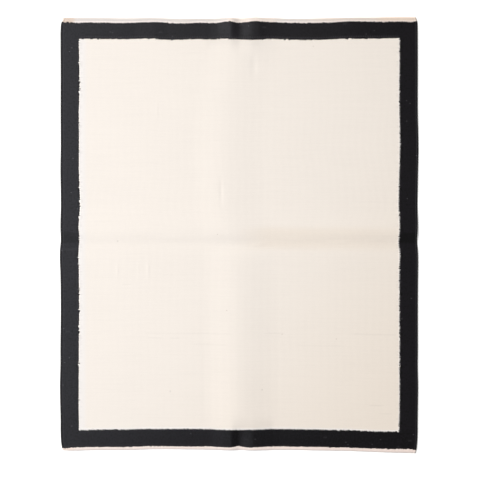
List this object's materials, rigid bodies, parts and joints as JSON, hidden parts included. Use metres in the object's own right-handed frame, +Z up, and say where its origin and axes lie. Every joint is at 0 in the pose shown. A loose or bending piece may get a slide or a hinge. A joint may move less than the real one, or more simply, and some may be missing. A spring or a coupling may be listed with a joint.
{
  "type": "kilim",
  "caption": "Flat-woven rug lying face up: cream field inside a woven black border, rolled pale hems at the ends, selvedge sides and soft fold creases.",
  "frame": {"origin": "on the floor, under the middle of the rug", "axes": "+X across the rug to its right side, +Y along the warps to the far end, +Z up from the floor out of the face"},
  "size_m": [1.5068, 1.8322, 0.015],
  "materials": {
    "cream_weave": "matt cream weft-faced flat weave with fine lengthwise ribs and slubs",
    "black_weave": "matt black weft-faced flat weave with stray pale lint",
    "hem_weave": "undyed pinkish cream cotton web, turned and rolled"
  },
  "bodies": {
    "root": {"kilim_cloth": "cream_weave"}
  },
  "joints": []
}
